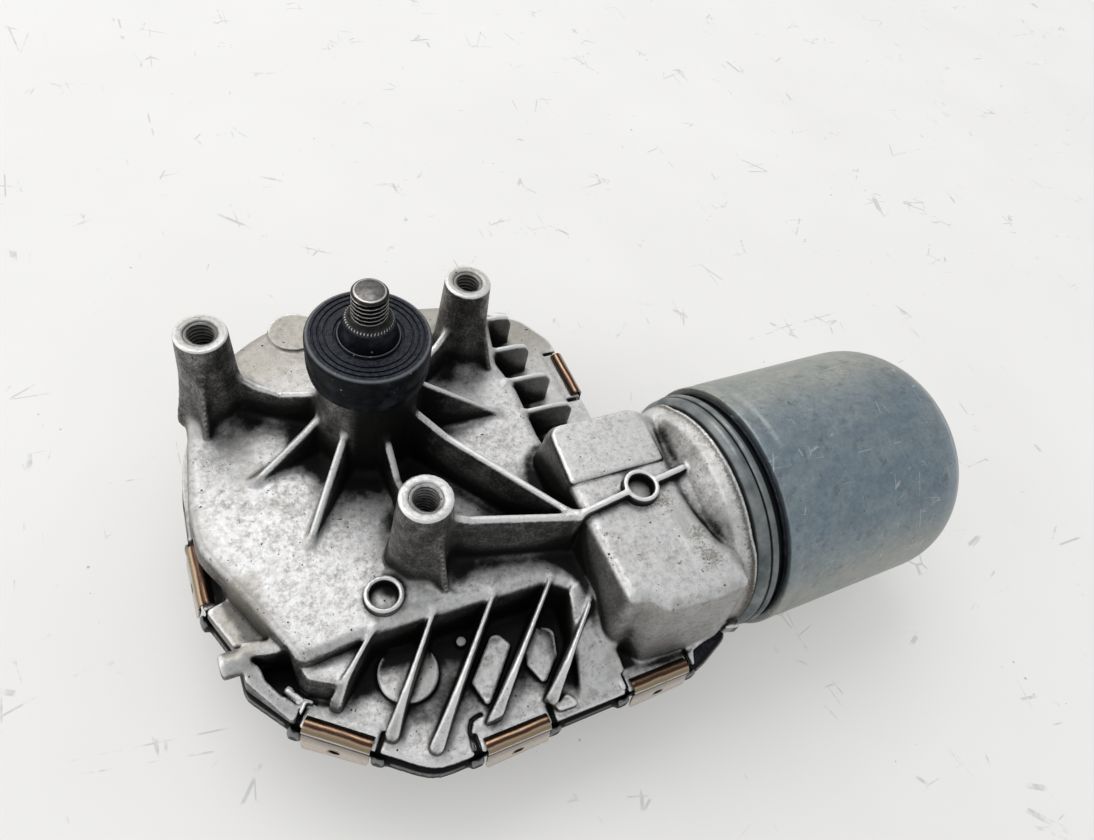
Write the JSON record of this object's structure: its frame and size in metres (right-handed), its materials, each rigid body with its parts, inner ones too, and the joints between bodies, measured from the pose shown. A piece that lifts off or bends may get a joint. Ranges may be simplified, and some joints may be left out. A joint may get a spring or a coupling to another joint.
{
  "type": "windshield wiper gear motor",
  "caption": "Windshield wiper gear motor: finned cast gear housing with three threaded bosses, worm-driven output shaft under a rubber cap, and a round DC motor in a steel can.",
  "frame": {"origin": "Centre of the three-boss bolt circle, on the boss faces, where the output shaft's axis passes.", "axes": "+X along the motor axis towards the can's closed end, +Z along the output shaft away from the housing, +Y to the rear."},
  "size_m": [0.216, 0.1422, 0.0975],
  "materials": {
    "cast_aluminium": "as-cast, mottled grey",
    "black_plastic": "moulded, matt",
    "black_rubber": "moulded",
    "bronze_spring_steel": "gold-bronze chromate",
    "zinc_plated_steel": "deep drawn, zinc plated",
    "steel": "turned",
    "sintered_bronze": "sintered",
    "acetal": "moulded",
    "ferrite": "pressed",
    "lamination_steel": "stacked laminations",
    "copper": "enamelled wire and bars",
    "carbon": "pressed carbon",
    "circuit_board": "printed board"
  },
  "bodies": {
    "housing": {"gear_housing": "cast_aluminium", "bottom_cover": "black_plastic", "cover_seal": "black_rubber", "upper_bush": "sintered_bronze", "lower_bush": "sintered_bronze", "shaft_seal": "black_rubber", "rubber_cap": "black_rubber", "motor_collar": "zinc_plated_steel", "collar_seal": "black_rubber", "motor_can": "zinc_plated_steel", "bearing_outer_ring": "steel", "bearing_balls": "steel", "front_thrust_pad": "acetal", "front_bush": "sintered_bronze", "rear_bush": "sintered_bronze", "rear_thrust_button": "steel", "brush_holder": "black_plastic", "brush_1": "carbon", "brush_2": "carbon", "brush_spring_1": "steel", "brush_spring_2": "steel", "control_board": "circuit_board", "position_sensor": "black_plastic", "capacitor": "zinc_plated_steel", "connector_socket": "black_plastic", "connector_pins": "copper", "magnet_1": "ferrite", "magnet_2": "ferrite", "magnet_3": "ferrite", "magnet_4": "ferrite", "clip_left_spring": "bronze_spring_steel", "clip_front_left_spring": "bronze_spring_steel", "clip_front_spring": "bronze_spring_steel", "clip_front_right_spring": "bronze_spring_steel", "clip_rear_right_spring": "bronze_spring_steel", "clip_rear_spring": "bronze_spring_steel"},
    "output": {"output_shaft": "steel", "wheel_hub": "steel", "worm_wheel": "acetal", "thrust_washer": "steel", "retaining_ring": "steel", "position_magnet": "ferrite"},
    "armature": {"armature_shaft": "steel", "worm": "steel", "armature_core": "lamination_steel", "armature_windings": "copper", "commutator": "copper", "bearing_inner_ring": "steel"}
  },
  "joints": [
    {"name": "output_turn", "type": "hinge", "parent": "housing", "child": "output", "pos_m": [0, 0, 0], "axis": [0, 0, 1], "continuous": true},
    {"name": "armature_spin", "type": "hinge", "parent": "housing", "child": "armature", "pos_m": [0, -0.0483, -0.0365], "axis": [1, 0, 0], "continuous": true}
  ],
  "couplings": [
    {"joint": "armature_spin", "follows": "output_turn", "ratio": -69}
  ]
}
